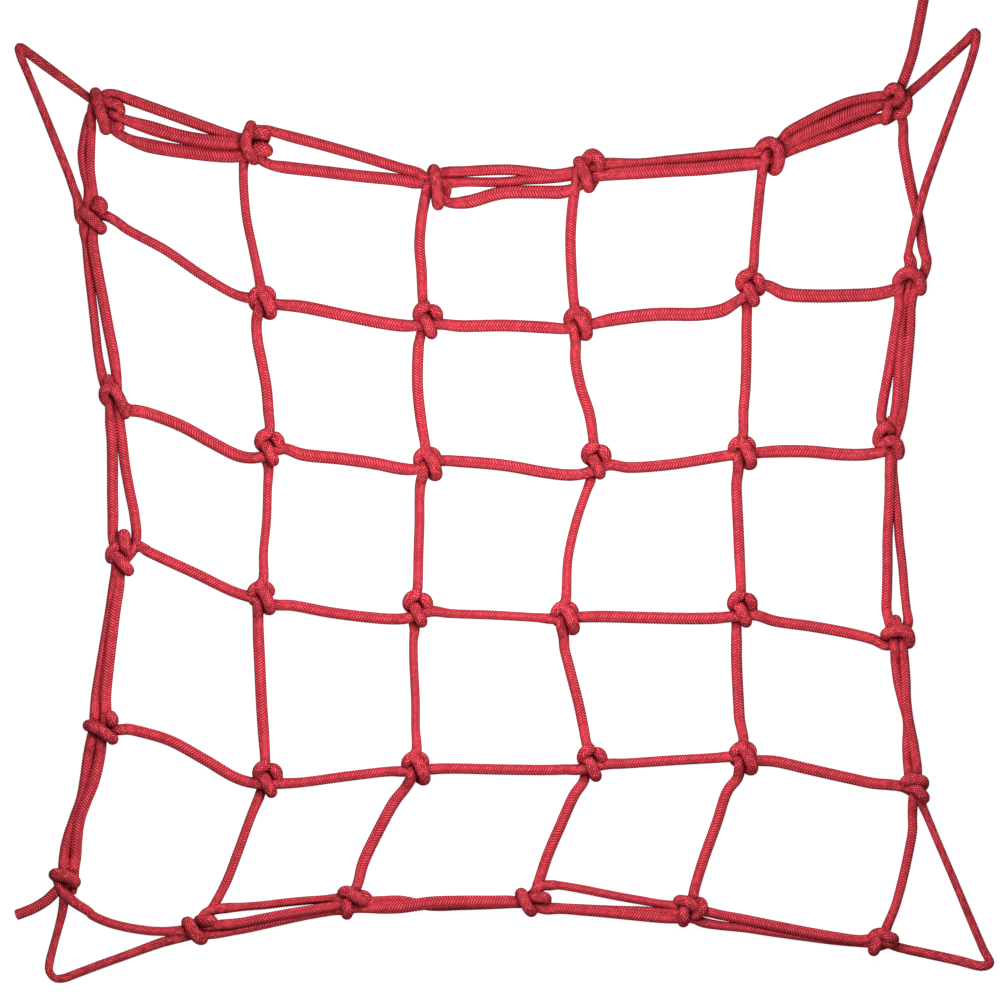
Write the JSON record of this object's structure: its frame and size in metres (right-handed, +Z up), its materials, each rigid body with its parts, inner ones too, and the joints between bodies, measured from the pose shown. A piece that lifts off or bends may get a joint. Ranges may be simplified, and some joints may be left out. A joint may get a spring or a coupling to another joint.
{
  "type": "cargo climbing net",
  "caption": "Square climbing net of thick braided elastic cord: knotted rows and columns, a bundled border, corner loops and loose ends, lying flat.",
  "frame": {"origin": "on the floor under the middle of the net, measured over the corner loops and without the two loose ends", "axes": "+Z up off the floor, +Y towards the net's top edge in the picture, +X towards its right edge"},
  "size_m": [0.9797, 1.0111, 0.0306],
  "materials": {
    "cord": "braided red cord"
  },
  "bodies": {
    "upper_band": {"top_border_upper": "cord", "top_border_middle": "cord", "top_border_lower": "cord", "column_1_upper": "cord", "column_2_upper": "cord", "column_3_upper": "cord", "column_4_upper": "cord", "row_1_cord": "cord", "left_border_upper_outer": "cord", "left_border_upper_inner": "cord", "right_border_upper_outer": "cord", "right_border_upper_middle": "cord", "right_border_upper_inner": "cord", "upper_loop_ends": "cord", "top_right_tail": "cord"},
    "row_2_band": {"column_1_row_2": "cord", "column_2_row_2": "cord", "column_3_row_2": "cord", "column_4_row_2": "cord", "row_2_cord": "cord", "left_border_row_2_outer": "cord", "left_border_row_2_inner": "cord", "right_border_row_2_outer": "cord", "right_border_row_2_middle": "cord", "right_border_row_2_inner": "cord"},
    "row_3_band": {"column_1_row_3": "cord", "column_2_row_3": "cord", "column_3_row_3": "cord", "column_4_row_3": "cord", "row_3_cord": "cord", "left_border_row_3_outer": "cord", "left_border_row_3_inner": "cord", "right_border_row_3_outer": "cord", "right_border_row_3_inner": "cord"},
    "lower_band": {"column_1_lower": "cord", "column_2_lower": "cord", "column_3_lower": "cord", "column_4_lower": "cord", "row_4_cord": "cord", "left_border_lower_outer": "cord", "left_border_lower_inner": "cord", "right_border_lower_outer": "cord", "right_border_lower_inner": "cord", "bottom_border_upper": "cord", "bottom_border_middle": "cord", "bottom_border_lower": "cord", "lower_loop_ends": "cord", "bottom_left_tail": "cord"},
    "top_left_loop": {"top_left_loop": "cord"},
    "top_right_loop": {"top_right_loop": "cord"},
    "bottom_left_loop": {"bottom_left_loop": "cord"},
    "bottom_right_loop": {"bottom_right_loop": "cord"}
  },
  "joints": [
    {"name": "upper_fold", "type": "hinge", "parent": "upper_band", "child": "row_2_band", "pos_m": [0, 0.1394, 0.006], "axis": [-1, 0, 0], "range_deg": [-60, 60]},
    {"name": "middle_fold", "type": "hinge", "parent": "row_2_band", "child": "row_3_band", "pos_m": [0, -0.0016, 0.006], "axis": [-1, 0, 0], "range_deg": [-60, 60]},
    {"name": "lower_fold", "type": "hinge", "parent": "row_3_band", "child": "lower_band", "pos_m": [0, -0.1776, 0.006], "axis": [-1, 0, 0], "range_deg": [-60, 60]},
    {"name": "top_left_loop_swing", "type": "hinge", "parent": "upper_band", "child": "top_left_loop", "pos_m": [-0.4356, 0.3264, 0.006], "axis": [0.1142, 0.9935, 0], "range_deg": [-90, 90]},
    {"name": "top_right_loop_swing", "type": "hinge", "parent": "upper_band", "child": "top_right_loop", "pos_m": [0.4144, 0.4204, 0.006], "axis": [0.0605, -0.9982, 0], "range_deg": [-90, 90]},
    {"name": "bottom_left_loop_swing", "type": "hinge", "parent": "lower_band", "child": "bottom_left_loop", "pos_m": [-0.3456, -0.4406, 0.006], "axis": [-0.9766, 0.2149, 0], "range_deg": [-90, 90]},
    {"name": "bottom_right_loop_swing", "type": "hinge", "parent": "lower_band", "child": "bottom_right_loop", "pos_m": [0.4214, -0.3156, 0.006], "axis": [-0.1687, -0.9857, 0], "range_deg": [-90, 90]}
  ]
}
